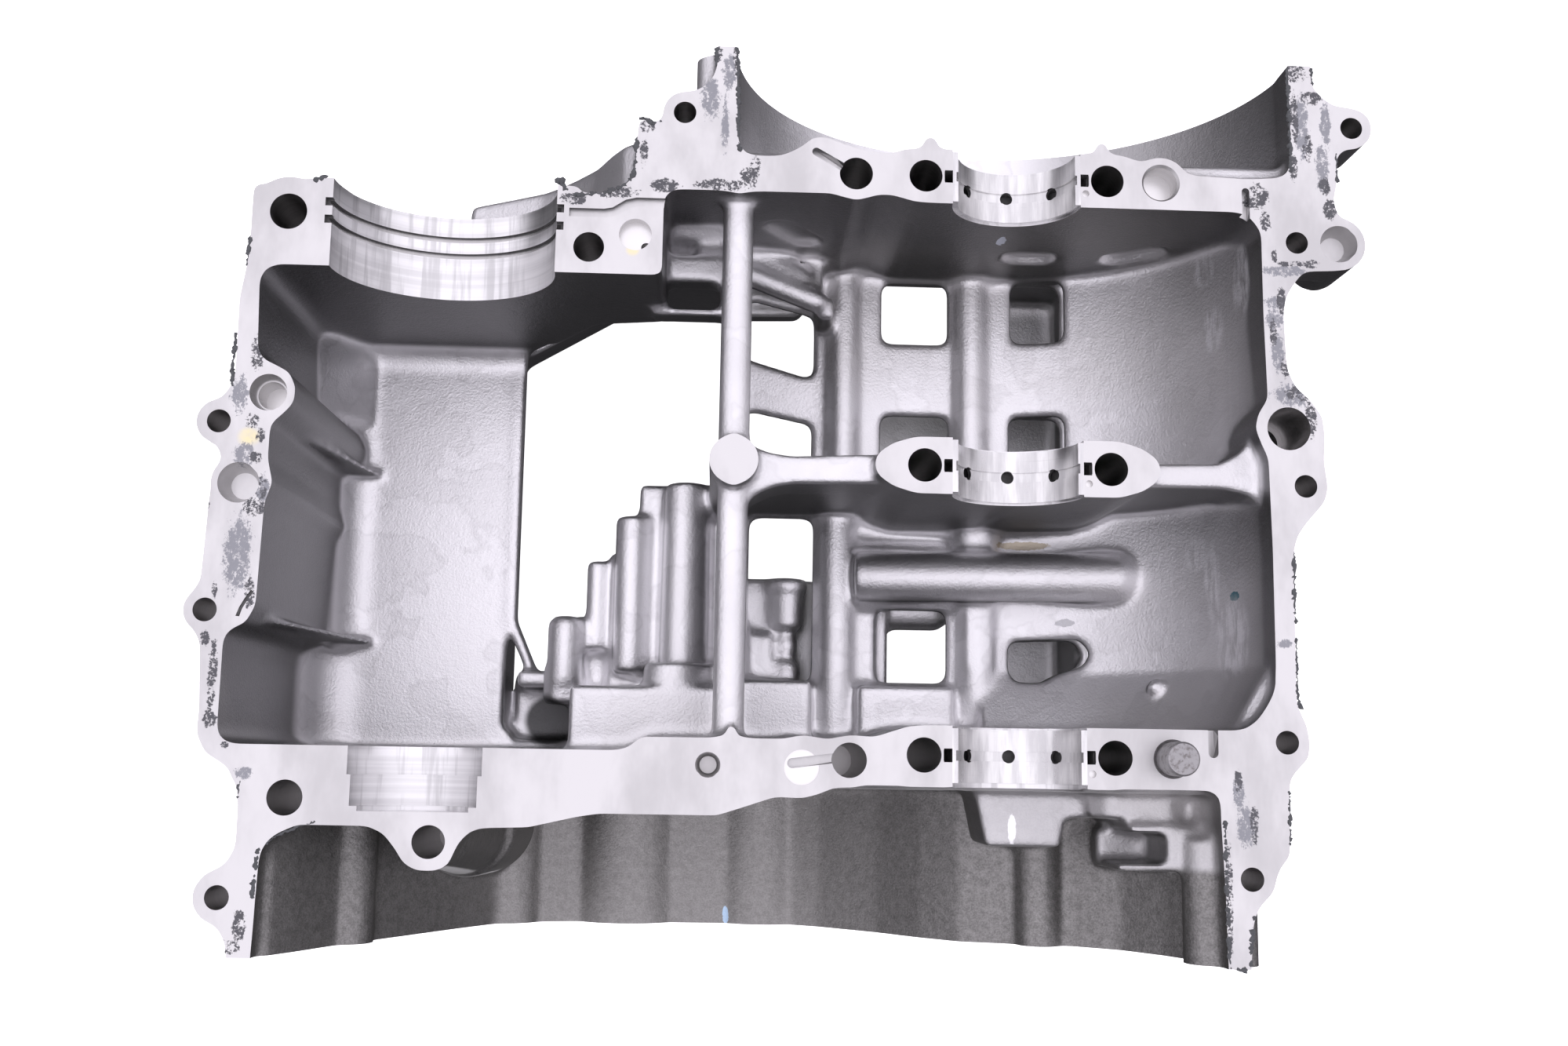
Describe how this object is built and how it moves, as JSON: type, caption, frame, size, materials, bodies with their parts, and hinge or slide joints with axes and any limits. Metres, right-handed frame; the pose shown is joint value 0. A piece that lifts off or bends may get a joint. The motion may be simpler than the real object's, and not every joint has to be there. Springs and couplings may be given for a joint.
{
  "type": "crankcase half",
  "caption": "Lower half of a cast engine crankcase: split face with bolt holes, crank bearing saddles with shells, a ball bearing seat, gearbox space and sump opening.",
  "frame": {"origin": "centre of the middle main bearing, on the crankshaft axis and in the split face", "axes": "+Z out of the split face, +Y along the crankshaft towards the generator side, +X away from the gearbox"},
  "size_m": [0.3593, 0.2785, 0.137],
  "materials": {
    "cast_aluminium": "satin blasted casting with bright machined faces",
    "bearing_metal": "bright, fine turned lines",
    "pin_steel": "dark, smooth"
  },
  "bodies": {
    "root": {"crankcase": "cast_aluminium", "shell_generator_side": "bearing_metal", "shell_centre": "bearing_metal", "shell_clutch_side": "bearing_metal", "locating_pin": "pin_steel"}
  },
  "joints": []
}
